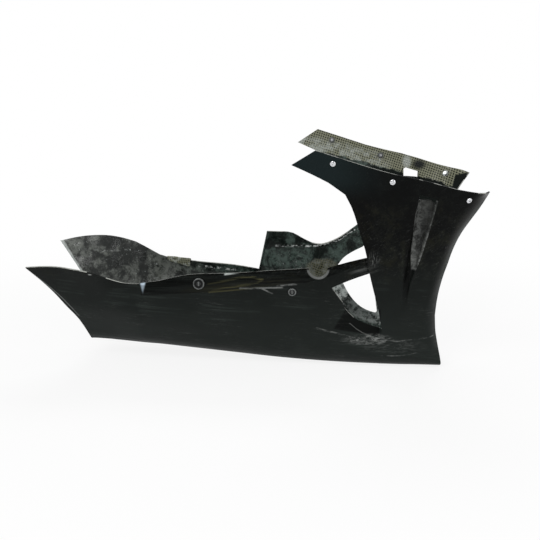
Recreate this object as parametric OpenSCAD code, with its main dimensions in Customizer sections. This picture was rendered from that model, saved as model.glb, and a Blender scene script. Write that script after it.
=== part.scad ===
// Motorcycle belly pan: one glass-fibre moulding with its flange screws and side screws.
// X runs forward, Y to the motorcycle's left, Z up. Millimetres, with the floor at Z = 0.

/* [Overall] */
// Length from the fin tips to the front tips
pan_length = 998; // [900:1:1100]
// Width over the wings at the top of the side panels
pan_width = 412; // [370:1:460]
// Height of the wings' highest corners
pan_height = 513; // [460:1:560]
// Thickness of the laminate
wall = 3; // [2:0.25:4]

/* [Tub] */
// Half width of the flat along the keel
keel_half = 42; // [34:1:50]
// Height of the rounded chine above the keel
chine_rise = 15; // [11:1:20]
// Width that the chine adds on each side of the keel flat
chine_reach = 27; // [20:1:34]
// How far the rear fins are set in beside the polished band
band_step = 8; // [3:0.5:10]
// How far the polished band leans in from its crease to its rim
band_lean = 6; // [2:0.5:9]
// How far the side sinks in below each side opening
lip_recess = 13; // [6:0.5:15]

/* [Notch] */
// Radius of the round notch in the right rim
notch_r = 20.5; // [14:0.5:22]
// Place of the notch along the pan
notch_x = 145.5; // [142:0.5:149]

/* [Side panels] */
// Step from each arm out to the panel that covers its end
arm_step = 13; // [6:0.5:16]
// How far the front lip turns inwards
lip_curl = 22; // [10:1:30]

/* [Scoop] */
// Depth of the scoop at its slot
scoop_depth = 14; // [8:0.5:18]
// Height at which the scoop runs out into the panel
scoop_foot = 170; // [150:1:200]
// Height at which its floor levels out
scoop_knee = 250; // [230:1:270]
// Depth of the soft groove that runs on above the slot
groove_depth = 4; // [0:0.25:6]

/* [Flange screws] */
// Shank diameter of a flange screw
screw_d = 6; // [5.5:0.25:7]
// Diameter of its domed head
head_d = 12; // [10:0.5:14]
// Height of its domed head
head_h = 3.6; // [2.8:0.1:4.5]
// Width across the flats of its hexagon socket
socket_af = 4; // [3:0.5:5]
// Diameter of the turned-down end that stands out of its nut
tip_d = 5; // [3:0.25:5]
// Length of that end
tip_length = 4; // [2:0.5:8]
// Gap all round a shank in its hole
hole_gap = 0.4; // [0.2:0.1:1]
// Gap between a fastener's faces and the laminate's skins
seat_gap = 0.25; // [0.2:0.05:0.4]
// Outer diameter of a flange washer
washer_d = 14; // [13:0.5:18]
// Thickness of a washer
washer_t = 1.2; // [0.8:0.1:2]
// Width across the flats of a nut
nut_af = 10; // [9:0.5:12]
// Height of a nut
nut_h = 5; // [4:0.5:7]

/* [Side screws] */
// Outer diameter of the rear cup washer
rear_cup_d = 25; // [23:0.5:28]
// Outer diameter of the front cup washer
front_cup_d = 18; // [17:0.5:20]
// Height of a cup washer's rim
cup_h = 3; // [2:0.25:4]
// Diameter of a side screw's flat head
side_head_d = 9.5; // [8:0.5:11]
// Height of that head
side_head_h = 1.8; // [1.5:0.1:2.5]
// Width of its screwdriver slot
slot_w = 1.2; // [0.8:0.1:1.6]

/* [Hidden] */
$fn = 48;
kx = pan_length / 998;
ky = pan_width / 412;
kz = pan_height / 513;

// Stations along the pan. Each guide point starts with its station
REAR = 0;
BAND_ROOT = 1;
BAND = 2;
LOBE_FOOT = 3;
LOBE = 4;
NOTCH = 5;
ARM = 6;
ARM_END = 7;
PANEL = 8;
SCOOP = 9;
SCOOP_END = 10;
LIP = 11;
FRONT = 12;
// Cells between one station and the next
bays = [12, 3, 10, 1, 5, 6, 5, 1, 6, 7, 3, 5];
// The scoop's bay is split finely where its rear slope and its front wall stand
scoop_shares = [0, 0.08, 0.2, 0.34, 0.5, 0.72, 0.92];

// Guide curves of the right side from the keel up, as [station, x, z, half width, 1 at a corner].
// A half width of LAW comes from the section law
LAW = 0;
keel = [[0, -386, 44, LAW], [0.5, -320, 42.5, LAW], [1, -252, 39, LAW], [2, -237, 38, LAW],
    [2.4, -150, 30, LAW], [3, -3, 16, LAW], [4, 17, 14, LAW], [5, 140, 5, LAW], [6, 206, 2, LAW],
    [7, 288, 0.2, LAW], [8, 292, 0.2, LAW], [9, 322, 0, LAW, 1], [10, 332, 0, LAW], [11, 396, 0, LAW],
    [12, 427, 0, LAW]];
belt = [[0, -393, 84, LAW], [0.5, -325, 84, LAW], [1, -254, 84, LAW], [2, -239, 84, LAW],
    [2.4, -150, 83, LAW], [3, -3, 86, LAW], [4, 17, 88, LAW], [5, 138, 98, LAW], [6, 184, 103, LAW],
    [7, 284, 82, LAW], [8, 290, 81, LAW], [9, 321, 78, LAW], [10, 332, 77, LAW], [11, 394, 70, LAW],
    [12, 419, 56, LAW]];
lower_lip = [[0, -403, 110, LAW], [0.5, -330, 114, LAW], [1, -256, 118, LAW], [2, -241, 118, LAW],
    [2.4, -150, 122, LAW], [3, -3, 130, LAW], [4, 17, 132, LAW], [5, 138, 150, LAW],
    [6, 204, 157, LAW, 1], [6.2, 213, 143, LAW], [6.5, 233, 125, LAW], [6.75, 258, 112, LAW],
    [7, 283, 104, LAW, 1], [8, 288, 104, LAW, 1], [9, 321, 103, LAW], [10, 333, 103, LAW],
    [11, 384, 101, LAW], [12, 410, 98, LAW]];
arm_foot = [[0, -424, 142, LAW], [0.5, -342, 148, LAW], [1, -254, 152, LAW], [2, -239, 152, LAW],
    [2.4, -150, 156, LAW], [3, -3, 164, LAW], [4, 17, 166, LAW], [5, 128, 186, LAW],
    [6, 176, 208, LAW, 1], [6.5, 212, 225, LAW], [7, 251, 240, LAW, 1], [8, 255, 244, LAW, 1],
    [9, 329, 244, LAW], [10, 348, 243, LAW], [11, 392, 240, LAW], [12, 418, 236, LAW]];
crease = [[0, -452, 182, 103], [0.5, -356, 188, 126], [0.85, -285, 186, 142], [1, -252, 184, 146],
    [2, -237, 186.5, 146, 1], [2.33, -167, 189, 144.5], [2.64, -90, 195, 143], [3, -3, 206, 141],
    [4, 17, 210, 140.5], [5, 126, 220, 137], [5.5, 146, 223, 136.5], [6, 168, 233, 136],
    [6.5, 206, 248, 136], [7, 246, 266, 149 - arm_step, 1], [8, 250, 268, LAW, 1], [9, 331, 268, LAW],
    [10, 355, 267, LAW], [11, 397, 264, LAW], [12, 424, 258, LAW]];
rim = [[0, -499, 240, 130], [0.17, -459, 245, 137], [0.3, -425, 246, 141], [0.44, -390, 243, 149],
    [0.55, -363, 240, 154], [0.72, -322, 229, 154], [0.83, -294, 218, 150], [1, -252, 210, 146],
    [2, -237, 213.5, 146], [2.2, -198, 219, 146], [2.33, -166, 228, 145], [2.5, -124, 235, 144],
    [2.73, -70, 237, 143], [3, -3, 241, 142], [4, 17, 243, 142], [4.5, 70, 247, 140], [5, 125, 251, 138, 1],
    [6, 166, 252, 137, 1], [6.5, 204, 264, 137], [7, 244, 275, 151 - arm_step, 1], [8, 248, 281, LAW, 1],
    [9, 332, 281, LAW], [10, 357, 281, LAW], [11, 400, 280, LAW], [12, 428, 277, LAW]];
panel_low = [[8, 231, 338, LAW], [9, 338, 338, LAW], [10, 368, 338, LAW], [11, 415, 335, LAW],
    [12, 442, 321, LAW]];
slot_foot = [[8, 211, 398, LAW], [9, 345, 404, LAW], [10, 384, 402, LAW], [11, 440, 394, LAW],
    [12, 471, 374, LAW]];
slot_head = [[8, 198, 423, 194], [9, 345, 425, 195], [10, 386, 414, 190], [11, 446, 406, 174],
    [12, 480, 389, 158]];
flange_foot = [[8, 164, 447, 196], [9, 345, 441, 198], [10, 386, 431, 192], [11, 451, 416, 176],
    [12, 489, 404, 156]];
top_edge = [[8, 89, 482, 195, 1], [8 + 1 / bays[PANEL], 137, 513, 206, 1], [8.45, 193, 496, 205],
    [8.75, 279, 470, 203], [9, 345, 456, 201], [10, 386, 445, 195], [10.5, 418, 436, 188],
    [11, 456, 427, 178], [11.5, 484, 422, 168], [12, 499, 421, 153]];

// Guide curves of the left side where they differ
far_belt = [[0, -393, 84, LAW], [0.5, -325, 84, LAW], [1, -254, 84, LAW], [2, -239, 84, LAW],
    [2.4, -150, 82, LAW], [3, -3, 80, LAW], [4, 17, 80, LAW], [5, 138, 84, LAW], [6, 184, 86, LAW],
    [7, 284, 62, LAW], [8, 290, 61, LAW], [9, 321, 62, LAW], [10, 332, 63, LAW], [11, 394, 64, LAW],
    [12, 419, 56, LAW]];
far_lower_lip = [[0, -403, 110, LAW], [0.5, -330, 114, LAW], [1, -256, 118, LAW], [2, -241, 118, LAW],
    [2.4, -150, 120, LAW], [3, -3, 124, LAW], [4, 17, 126, LAW], [5, 138, 144, LAW],
    [6, 202, 156, LAW, 1], [6.2, 212, 138, LAW], [6.5, 232, 110, LAW], [6.75, 256, 92, LAW],
    [7, 284, 84, LAW, 1], [8, 289, 84, LAW, 1], [9, 321, 86, LAW], [10, 333, 88, LAW],
    [11, 384, 94, LAW], [12, 410, 98, LAW]];
far_arm_foot = [[0, -424, 142, LAW], [0.5, -342, 146, LAW], [1, -254, 148, LAW], [2, -239, 148, LAW],
    [2.4, -150, 146, LAW], [3, -3, 144, LAW], [4, 17, 150, LAW], [5, 134, 184, LAW],
    [6, 193, 191, LAW, 1], [6.2, 203, 206, LAW], [6.5, 220, 219, LAW], [7, 251, 236, LAW, 1],
    [8, 256, 240, LAW, 1], [9, 329, 242, LAW], [10, 348, 242, LAW], [11, 392, 240, LAW],
    [12, 418, 236, LAW]];
far_crease = [[0, -452, 182, 103], [0.5, -356, 188, 126], [0.85, -285, 184, 141], [1, -252, 180, 145],
    [2, -237, 178, 145, 1], [2.5, -124, 172, 141], [3, -3, 164, 138, 1], [4, 17, 238, 141, 1],
    [4.3, 45, 240, 140], [5, 118, 234, 138], [5.5, 146, 234, 137], [6, 164, 238, 136], [6.5, 208, 260, 136],
    [7, 243, 284, 151 - arm_step, 1], [8, 246, 288, LAW, 1], [9, 332, 278, LAW], [10, 357, 276, LAW],
    [11, 399, 272, LAW], [12, 427, 268, LAW]];
far_rim = [[0, -499, 240, 130], [0.18, -454, 250, 135], [0.32, -419, 253, 141], [0.5, -376, 251, 149],
    [0.64, -341, 243, 154], [0.76, -311, 234, 154], [0.88, -281, 220, 150], [1, -252, 207, 147],
    [2, -237, 202, 147], [2.29, -176, 194, 144], [2.8, -51, 184, 140], [3, -3, 176, 139, 1],
    [4, 17, 272, 141, 1], [4.6, 80, 271, 141, 1], [4.7, 95, 262, 141], [4.85, 110, 251, 140],
    [5, 128, 245, 139], [5.5, 150, 243, 137], [6, 168, 248, 136], [6.35, 190, 258, 136],
    [6.75, 228, 285, 137], [7, 239, 293, 153 - arm_step, 1], [8, 243, 298, LAW, 1], [9, 333, 292, LAW],
    [10, 360, 290, LAW], [11, 403, 286, LAW], [12, 431, 283, LAW]];

// The keel flat's edge and the chine follow the keel and narrow towards the rear
function rear_share(p) = max(0, (keel[2][1] - p[1]) / (keel[2][1] - keel[0][1]));
floor_edge = [for (p = keel) [p[0], p[1], p[2], keel_half - 10 * rear_share(p)]];
chine = [for (p = keel) [p[0], p[1], p[2] + chine_rise, keel_half + chine_reach - 16 * rear_share(p)]];
right_guides = [keel, floor_edge, chine, belt, lower_lip, arm_foot, crease, rim,
    panel_low, slot_foot, slot_head, flange_foot, top_edge];
left_guides = [keel, floor_edge, chine, far_belt, far_lower_lip, far_arm_foot, far_crease, far_rim,
    panel_low, slot_foot, slot_head, flange_foot, top_edge];
// Places in those lists
FLOOR_ROW = 1;
CHINE_ROW = 2;
BELT_ROW = 3;
LIP_ROW = 4;
ARM_ROW = 5;
CREASE_ROW = 6;
RIM_ROW = 7;
SLOT_ROW = 9;
HEAD_ROW = 10;
TOP_ROW = 12;
// Cells between one guide and the next
courses = [2, 2, 3, 3, 4, 2, 2, 4, 4, 1, 1, 2];
// Powers of the section law: the tub swells, the panels flare nearly straight
swell = 1.5;
flare = 0.92;

function point(p) = [p[1] * kx, p[3] * ky, p[2] * kz];
function is_corner(p) = len(p) > 4;
function sum(v, n) = n <= 0 ? 0 : v[n - 1] + sum(v, n - 1);
function ramp(x, low, high) = min(1, max(0, (x - low) / (high - low)));

// Slope at b between a and c, weighted by the two chords, and the plain slope of one chord
function slope(a, b, c) =
    let (h = max(norm(b - a), 0.01), k = max(norm(c - b), 0.01))
    ((b - a) / h * k + (c - b) / k * h) / (h + k);
function chord(b, c) = (c - b) / max(norm(c - b), 0.01);
// A cubic from b to c that leaves and arrives with the slopes s and e
function cubic(b, c, s, e, t) =
    let (h = norm(c - b))
    b * (2 * t * t * t - 3 * t * t + 1) + s * h * (t * t * t - 2 * t * t + t)
    + c * (3 * t * t - 2 * t * t * t) + e * h * (t * t * t - t * t);

// The point of a guide at station u
function below(g, u, k = 0) = k >= len(g) - 2 || u < g[k + 1][0] ? k : below(g, u, k + 1);
function guide_at(g, u) =
    let (
        k = below(g, u),
        b = point(g[k]),
        c = point(g[k + 1]),
        t = (u - g[k][0]) / (g[k + 1][0] - g[k][0]),
        s = k == 0 || is_corner(g[k]) ? chord(b, c) : slope(point(g[k - 1]), b, c),
        e = k == len(g) - 2 || is_corner(g[k + 1]) ? chord(b, c) : slope(b, c, point(g[k + 2]))
    )
    cubic(b, c, s, e, t);

// The round notch takes the place of the right rim between its two ends
function notch_at(u) =
    let (ends = [guide_at(rim, NOTCH), guide_at(rim, ARM)], mid = (ends[0] + ends[1]) / 2,
        turn = 180 * (u - NOTCH) / (ARM - NOTCH))
    [notch_x * kx - notch_r * cos(turn), mid[1], mid[2] - notch_r * sin(turn)];
function row_at(rows, r, u) =
    r == RIM_ROW && rows[r] == rim && u > NOTCH && u < ARM ? notch_at(u) : guide_at(rows[r], u);

// Half width between the chine and the crease or the slot's head
function section_law(low, high, z, power) =
    let (t = ramp(z, low[2], high[2]))
    low[1] + (high[1] - low[1]) * (power > 1 ? 1 - pow(1 - t, power) : pow(t, power));
function with_law(p, low, high, power) = [p[0], section_law(low, high, p[2], power), p[2]];

// The guide points of one column, from the keel to its top edge
function column(rows, u) =
    let (
        last = u < PANEL ? RIM_ROW : TOP_ROW,
        c = [for (r = [0:last]) row_at(rows, r, u)],
        law_end = u < PANEL ? CREASE_ROW : HEAD_ROW,
        power = u < PANEL ? swell : flare
    )
    [for (r = [0:last]) r > CHINE_ROW && r < law_end ? with_law(c[r], c[CHINE_ROW], c[law_end], power) : c[r]];

// The point a share t of the way from guide r to the next, before the features
function base_point(c, u, r, t) =
    let (
        last = len(c) - 1,
        before = r == 0 ? [c[1][0], -c[1][1], c[1][2]] : c[r - 1],
        creased = u >= BAND && u < PANEL,
        s = creased && r == CREASE_ROW ? chord(c[r], c[r + 1])
            : r == FLOOR_ROW ? chord(c[0], c[1]) : slope(before, c[r], c[r + 1]),
        e = r + 1 == last || r + 1 == FLOOR_ROW || (creased && r + 1 == CREASE_ROW)
            ? chord(c[r], c[r + 1]) : slope(c[r], c[r + 1], c[r + 2])
    )
    cubic(c[r], c[r + 1], s, e, t);

// Features that sink into the skin, by station u, guide place v and height z
function scoop_sink(u, v, z) =
    let (
        share = u - SCOOP,
        level = ramp(z, scoop_knee * kz, slot_foot[1][2] * kz),
        depth = scoop_depth * (0.7 * ramp(z, scoop_foot * kz, scoop_knee * kz) + 0.3 * level),
        rear_slope = 0.42 - 0.32 * level,
        front_wall = 0.08
    )
    share > 0 && share < 1 && v <= SLOT_ROW ? depth * min(1, share / rear_slope, (1 - share) / front_wall) : 0;
function groove_sink(u, v) =
    u > SCOOP && u < SCOOP_END && v > SLOT_ROW ? groove_depth * sin(180 * (u - SCOOP)) : 0;
// The fin dips towards the band's root, and the band swells out of it with a round corner
function fin_sink(u, v) =
    u <= BAND ? band_step * pow(ramp(u, 0.72, BAND_ROOT), 2) * (1 - pow(ramp(u, BAND_ROOT, BAND), 0.6))
        * ramp(v, ARM_ROW, CREASE_ROW) : 0;
function band_sink(u, v) =
    u < PANEL ? band_lean * ramp(u, BAND_ROOT, BAND) * ramp(v, CREASE_ROW, RIM_ROW) : 0;
function recess_sink(u, v) =
    u <= ARM_END ? lip_recess * ramp(u, NOTCH, ARM) * (1 - ramp(abs(v - LIP_ROW), 0, 1)) : 0;
function curl_sink(u, v) = lip_curl * pow(ramp(u, LIP, FRONT), 2) * ramp(v, CHINE_ROW, BELT_ROW);
function skin_point(c, u, r, t) =
    let (p = base_point(c, u, r, t), v = r + t)
    [p[0], p[1] - scoop_sink(u, v, p[2]) - groove_sink(u, v) - fin_sink(u, v) - band_sink(u, v)
        - recess_sink(u, v) - curl_sink(u, v), p[2]];

stations = concat([for (b = [0:len(bays) - 1]) for (m = [0:bays[b] - 1])
    b + (b == SCOOP ? scoop_shares[m] : m / bays[b])], [FRONT]);
levels = [for (r = [0:len(courses) - 1]) for (m = [0:courses[r] - 1]) [r, m / courses[r]]];
nu = len(stations);
panel_i = sum(bays, PANEL);
rim_j = sum(courses, RIM_ROW);
top_j = sum(courses, TOP_ROW);

// Height of column i in cells, and the grid of one side from its keel up
function top_of(i) = i < panel_i ? rim_j : top_j;
function side_grid(rows) = [for (i = [0:nu - 1])
    let (u = stations[i], c = column(rows, u), last = len(c) - 1)
    [for (j = [0:top_of(i)])
        j == top_of(i) ? skin_point(c, u, last - 1, 1) : skin_point(c, u, levels[j][0], levels[j][1])]];
right_grid = side_grid(right_guides);
left_grid = side_grid(left_guides);

// Row j runs from the left top edge (negative) over the keel (0) to the right top edge (positive)
function outer(i, j) =
    let (p = j < 0 ? left_grid[i][-j] : right_grid[i][j])
    [p[0], j < 0 ? p[1] : -p[1], p[2]];
function known(i, j) = i >= 0 && i < nu && abs(j) <= top_of(i);
function step_i(i, j, d) = known(i + d, j) ? i + d : i;
function step_j(i, j, d) = known(i, j + d) ? j + d : j;
function inner(i, j) =
    let (
        along = outer(step_i(i, j, 1), j) - outer(step_i(i, j, -1), j),
        across = outer(i, step_j(i, j, 1)) - outer(i, step_j(i, j, -1)),
        n = cross(along, across)
    )
    outer(i, j) - n / norm(n) * wall;

// Cells are left out at the side openings, the scoops' slots and over the rims
opening_i = [sum(bays, ARM), sum(bays, PANEL) - 1];
opening_j = [sum(courses, LIP_ROW), sum(courses, ARM_ROW) - 1];
slot_i = [sum(bays, SCOOP) + 1, sum(bays, SCOOP_END) - 2];
slot_j = sum(courses, SLOT_ROW);
function within(k, range) = k >= range[0] && k <= range[1];
function filled(i, j) =
    let (r = j < 0 ? -j - 1 : j)
    i >= 0 && i < nu - 1 && r < min(top_of(i), top_of(i + 1))
    && !(within(i, opening_i) && within(r, opening_j))
    && !(within(i, slot_i) && r == slot_j);

// Vertices are numbered column by column, an outer one and its inner one in turn
first = [for (i = 0, n = 0; i <= nu; n = n + 2 * (2 * top_of(i) + 1), i = i + 1) n];
function out_id(i, j) = first[i] + 2 * (j + top_of(i));
function in_id(i, j) = out_id(i, j) + 1;
skin_points = [for (i = [0:nu - 1]) for (j = [-top_of(i):top_of(i)]) for (p = [outer(i, j), inner(i, j)]) p];
function quad(a, b, c, d) = [[a, b, c], [a, c, d]];
function edge_wall(a, b, c, d, covered) = covered ? [] : quad(a, b, c, d);
skin_faces = [for (i = [0:nu - 2]) for (j = [-top_j:top_j - 1]) if (filled(i, j))
    let (
        a = out_id(i, j), b = out_id(i + 1, j), c = out_id(i + 1, j + 1), d = out_id(i, j + 1),
        e = in_id(i, j), f = in_id(i + 1, j), g = in_id(i + 1, j + 1), h = in_id(i, j + 1)
    )
    for (face = concat(quad(a, d, c, b), quad(e, f, g, h), edge_wall(a, e, h, d, filled(i - 1, j)),
        edge_wall(c, g, f, b, filled(i + 1, j)), edge_wall(b, f, e, a, filled(i, j - 1)),
        edge_wall(d, h, g, c, filled(i, j + 1)))) face];

// Where a fastener sits on the skin: the point of the facet at x and z, and the way out
function inside(p, a, b, c) =
    let (
        d = (b[0] - a[0]) * (c[2] - a[2]) - (b[2] - a[2]) * (c[0] - a[0]),
        s = ((p[0] - a[0]) * (c[2] - a[2]) - (p[1] - a[2]) * (c[0] - a[0])) / d,
        t = ((b[0] - a[0]) * (p[1] - a[2]) - (b[2] - a[2]) * (p[0] - a[0])) / d
    )
    s >= 0 && t >= 0 && s + t <= 1 ? [s, t] : [];
function seat(p, side) =
    [for (i = [0:nu - 2]) for (r = [0:top_j - 1])
        let (j = side > 0 ? -r - 1 : r)
        if (filled(i, j))
            for (f = [[[i, j], [i + 1, j], [i + 1, j + 1]], [[i, j], [i + 1, j + 1], [i, j + 1]]])
                let (a = outer(f[0][0], f[0][1]), b = outer(f[1][0], f[1][1]), c = outer(f[2][0], f[2][1]),
                    st = inside(p, a, b, c))
                if (len(st) == 2) [a + (b - a) * st[0] + (c - a) * st[1], cross(b - a, c - a)]];

module on_skin(place, side) {
    found = seat([place[0] * kx, place[1] * kz], side)[0];
    n = found[1] / norm(found[1]);
    translate(found[0]) rotate([0, acos(n[2]), atan2(n[1], n[0])]) children();
}

// Side view places of the flange screws on both sides, and of the right side's two cup washers.
// The third number is the gap under a flat washer's middle, as it rests by its rim on the hollow inner skin
flange_places = [[172, 487, 0.25], [292, 451, 0.42], [449.5, 411, 1.1]];
cup_places = [[-113, 214, 0.25], [90, 198, 0.3]];
cup_diameters = [rear_cup_d, front_cup_d];
module at_flanges() {
    for (side = [-1, 1]) for (place = flange_places) {
        $sag = place[2];
        on_skin(place, side) children();
    }
}
module at_cups() {
    for (k = [0, 1]) {
        $sag = cup_places[k][2];
        $cup_d = cup_diameters[k];
        on_skin(cup_places[k], -1) children();
    }
}

// Every fastener below is drawn with the outer skin at Z = 0 and its head up
function washer_z() = -wall - $sag - washer_t;
function nut_z() = washer_z() - seat_gap - nut_h;
module shank(top) {
    translate([0, 0, nut_z()]) cylinder(d = screw_d, h = top - nut_z());
    translate([0, 0, nut_z() - tip_length]) cylinder(d = tip_d, h = tip_length + 1);
}
module domed_head(d, h) {
    rim_h = h * 0.3;
    rotate_extrude() polygon(concat([[0, 0], [d / 2, 0]],
        [for (turn = [0:9:90]) [d / 2 * cos(turn), rim_h + (h - rim_h) * sin(turn)]]));
}
module flange_screw() {
    difference() {
        union() {
            translate([0, 0, seat_gap]) domed_head(head_d, head_h);
            shank(seat_gap + head_h * 0.3);
        }
        translate([0, 0, seat_gap + head_h * 0.4]) cylinder(d = socket_af / cos(30), h = head_h, $fn = 6);
    }
}
module washer() {
    difference() {
        cylinder(d = washer_d, h = washer_t);
        translate([0, 0, -1]) cylinder(d = screw_d + 2 * hole_gap, h = washer_t + 2);
    }
}
module nut() {
    difference() {
        intersection() {
            cylinder(d = nut_af / cos(30), h = nut_h, $fn = 6);
            translate([0, 0, -nut_h * 0.4]) cylinder(d1 = nut_af * 1.8, d2 = nut_af * 0.92, h = nut_h * 1.4);
        }
        translate([0, 0, -1]) cylinder(d = screw_d, h = nut_h + 2);
    }
}
module hole(clearance) {
    translate([0, 0, -wall * 3]) cylinder(d = screw_d + 2 * clearance, h = wall * 6);
}
// A turned cup: flat foot, round rim and a sunk floor for the screw's head
module cup_washer(d) {
    rotate_extrude() difference() {
        union() {
            square([d / 2 - cup_h / 2, cup_h]);
            translate([d / 2 - cup_h / 2, 0]) square([cup_h / 2, cup_h / 2]);
            translate([d / 2 - cup_h / 2, cup_h / 2]) circle(r = cup_h / 2);
        }
        translate([0, washer_t]) square([d / 2 - cup_h, cup_h]);
        translate([-1, -1]) square([1 + screw_d / 2 + hole_gap, cup_h + 2]);
    }
}
module side_screw() {
    head_z = seat_gap + washer_t + seat_gap;
    difference() {
        union() {
            translate([0, 0, head_z]) domed_head(side_head_d, side_head_h);
            shank(head_z + side_head_h * 0.3);
        }
        translate([-side_head_d, -slot_w / 2, head_z + side_head_h / 2]) cube([2 * side_head_d, slot_w, side_head_h]);
    }
}

module shell() {
    color("#2b2d2d") difference() {
        polyhedron(points = skin_points, faces = skin_faces, convexity = 10);
        at_flanges() hole(hole_gap);
        at_cups() hole(hole_gap);
    }
}
module flange_screws() {
    color("#d4d6d8") at_flanges() flange_screw();
}
module flange_washers() {
    color("#c2c4c6") at_flanges() translate([0, 0, washer_z()]) washer();
}
module flange_nuts() {
    color("#b8bbbe") at_flanges() translate([0, 0, nut_z()]) nut();
}
module cup_washers() {
    color("#9a9d9d") at_cups() translate([0, 0, seat_gap]) cup_washer($cup_d);
}
module side_screws() {
    color("#b4b7b8") at_cups() side_screw();
}
module side_washers() {
    color("#c2c4c6") at_cups() translate([0, 0, washer_z()]) washer();
}
module side_nuts() {
    color("#b8bbbe") at_cups() translate([0, 0, nut_z()]) nut();
}

shell();
flange_screws();
flange_washers();
flange_nuts();
cup_washers();
side_screws();
side_washers();
side_nuts();
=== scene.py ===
"""A motorcycle belly pan in glass-fibre laminate, with its flange screws and side screws."""

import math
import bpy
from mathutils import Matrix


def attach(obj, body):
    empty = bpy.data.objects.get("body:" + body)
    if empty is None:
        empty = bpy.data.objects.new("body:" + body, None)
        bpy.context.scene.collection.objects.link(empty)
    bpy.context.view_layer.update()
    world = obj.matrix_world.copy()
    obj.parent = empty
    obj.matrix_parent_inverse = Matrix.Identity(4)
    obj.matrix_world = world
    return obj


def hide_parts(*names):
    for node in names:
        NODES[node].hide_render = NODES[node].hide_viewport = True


bl_info = {
    "name": "Belly Pan",
    "version": (1, 0, 0),
    "blender": (4, 5, 0),
    "location": "View3D > Sidebar > Belly Pan",
    "description": "Dresses a laminated motorcycle belly pan, its fasteners and a studio",
    "category": "Add Mesh",
}

import bmesh
import bpy
from bpy.props import FloatProperty, FloatVectorProperty, IntProperty, PointerProperty
from mathutils import Matrix, Vector
from mathutils.bvhtree import BVHTree

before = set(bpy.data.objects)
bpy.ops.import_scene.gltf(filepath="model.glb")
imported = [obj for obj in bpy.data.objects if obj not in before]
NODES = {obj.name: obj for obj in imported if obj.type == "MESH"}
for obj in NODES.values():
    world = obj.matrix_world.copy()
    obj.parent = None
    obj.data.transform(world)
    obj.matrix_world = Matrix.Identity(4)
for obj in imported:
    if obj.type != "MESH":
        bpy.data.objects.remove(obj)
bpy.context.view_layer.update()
MM = 0.001

# Slots of the shell's three finishes
OUTER_SKIN = 0
INNER_SKIN = 1
CUT_EDGE = 2

# The shell's triangles are joined into faces of four sides within these angles
QUAD_BEND = math.radians(40.0)
QUAD_SKEW = math.radians(70.0)

# Below this height the skin turns under the tub, so its outer side faces down as well as out
TUB_MIDDLE = 0.150
# How far behind a face a ray starts that measures the wall
RAY_STEP = 0.02 * MM
# Box in side view round the grooves beside the scoops, whose steep walls are skin
GROOVE_X = (0.320, 0.360)
GROOVE_Z = (0.170, 0.390)

# Box in side view round the scoop slots, and the line that parts their heads from their feet
SLOT_X = (0.340, 0.390)
SLOT_Z = (0.398, 0.430)
SLOT_MIDDLE_X = 0.345
SLOT_MIDDLE_Z = 0.415
SLOT_SLOPE = -0.17

# Cloth tab over the left rim: X of its rear end, its length, and the rim's height and fall there
TAB_REAR = -0.233
TAB_LENGTH = 0.057
TAB_RIM = 0.2013
TAB_FALL = 0.0075
# How far its outer side leans forward at the front end
TAB_LEAN = 3.0 * MM
# Thickness of the cloth, and the gap between its middle and the skin
TAB_WALL = 0.9 * MM
TAB_GAP = 0.9 * MM
# Y taken for the inside of the tab where a ray towards the skin finds nothing
TAB_SKIN = 0.1360
TAB_COLUMNS = 14
TAB_ROWS = 6

# Corners of the small solids closer than this are one corner
SOLID_MERGE = 0.001 * MM
# Edges of the small solids that turn more than this stay crisp
SOLID_SHARP = math.radians(32.0)
# Edges of the small solids that turn less than this are dissolved
SOLID_FLAT = math.radians(1.0)

# X of the fasteners along the pan
FLANGE_PLACES = {"rear": 0.172, "middle": 0.292, "front": 0.4495}
SIDE_PLACES = {"rear": -0.113, "front": 0.090}

# Camera of the photograph, in the pan's own frame
CAMERA_PLACE = Vector((0.156, -1.9, 0.730))
CAMERA_PITCH = math.radians(15.3)
CAMERA_YAW = math.radians(3.7)
SENSOR_WIDTH = 36.0
FOCAL_PIXELS = 850.0
PHOTO_WIDTH = 540.0

WHITE = (1.0, 1.0, 1.0, 1.0)
CARD_GREY = (0.86, 0.86, 0.86, 1.0)

# Lines in side view, as rows of (X, Z) in metres from the tail to the front

# Foot of the raised band along the rim
BAND_CREASE = (
    (-0.241, 0.1860), (-0.090, 0.1955), (-0.003, 0.2045), (0.072, 0.2160), (0.120, 0.2195),
    (0.168, 0.2330), (0.250, 0.2680),
)
# Edge of the tail, a painted reflection shaped as a hairpin, and a painted highlight on the rim
TAIL_EDGE = (
    (-0.493, 0.2310), (-0.478, 0.2155), (-0.453, 0.1885), (-0.429, 0.1615), (-0.409, 0.1350),
    (-0.400, 0.1180),
)
HAIRPIN_LINES = (
    ((-0.092, 0.2140), (-0.058, 0.2210), (-0.023, 0.2290), (0.006, 0.2300), (0.026, 0.2250)),
    ((-0.085, 0.1985), (-0.055, 0.2060), (-0.023, 0.2110), (0.013, 0.2170), (0.026, 0.2245)),
)
RIM_HIGHLIGHT = ((-0.055, 0.2360), (-0.025, 0.2400))
# Scratches on the outer side
PALE_LINES = (
    ((-0.022, 0.2050), (0.025, 0.2062), (0.068, 0.2078)),
    ((0.026, 0.2045), (0.046, 0.1935)),
    ((0.058, 0.2120), (0.098, 0.2160)),
)
SCUFF_LINE = ((0.145, 0.1060), (0.213, 0.0860), (0.274, 0.0740))
TRAIL_LINES = (
    ((0.292, 0.0335), (0.335, 0.0350), (0.372, 0.0440)),
    ((0.318, 0.0720), (0.404, 0.0850)),
)
# Foot of the recess under the side opening, and the ridge in it
RECESS_FOOT = ((0.170, 0.106), (0.290, 0.084))
RECESS_RIDGE = ((0.218, 0.1170), (0.232, 0.1040), (0.247, 0.0940), (0.262, 0.0885))
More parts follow.
